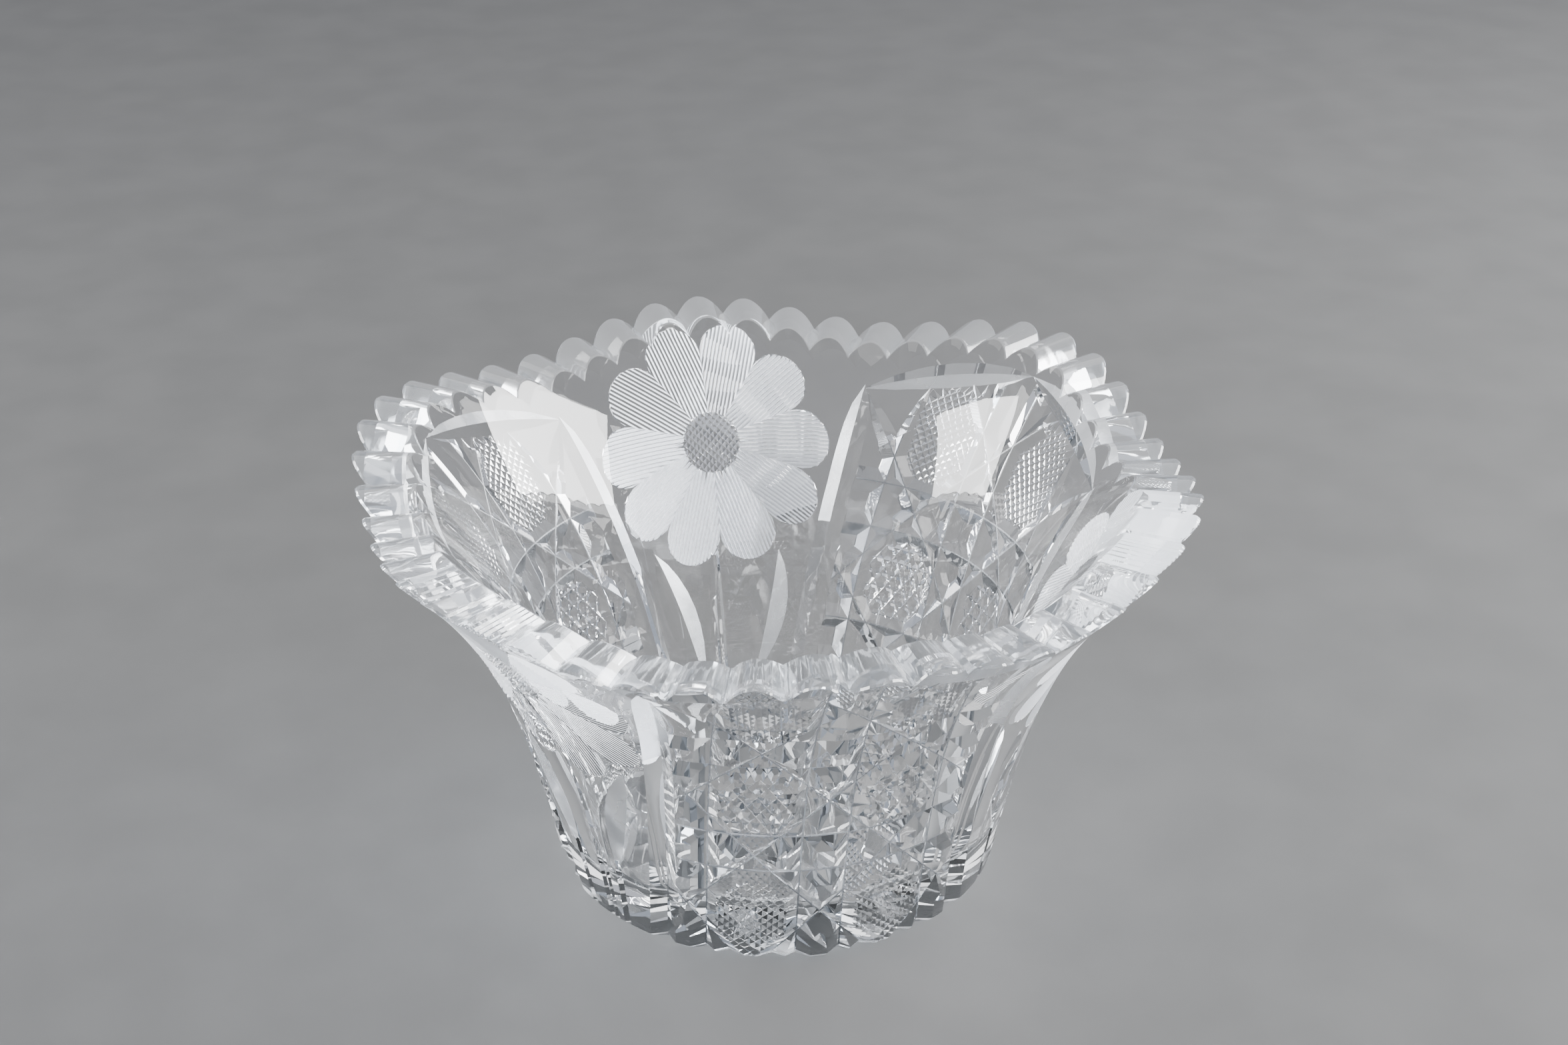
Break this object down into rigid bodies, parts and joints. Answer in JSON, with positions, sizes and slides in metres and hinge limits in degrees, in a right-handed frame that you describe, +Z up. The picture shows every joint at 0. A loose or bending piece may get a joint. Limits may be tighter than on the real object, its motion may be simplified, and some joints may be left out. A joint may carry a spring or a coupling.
{
  "type": "cut glass dish",
  "caption": "Small, thick, flared bowl of clear cut glass with a saw-tooth rim, for dipping, mixing or serving small amounts",
  "frame": {"origin": "centre of the ground foot, on the surface that the dish stands on", "axes": "+Z up, along the axis of the dish; -Y through the middle of a lattice panel, +Y through the middle of a daisy panel"},
  "size_m": [0.1088, 0.1138, 0.0592],
  "materials": {
    "clear_glass": "polished, with frosted engraving"
  },
  "bodies": {
    "root": {"glass_dish": "clear_glass"}
  },
  "joints": []
}
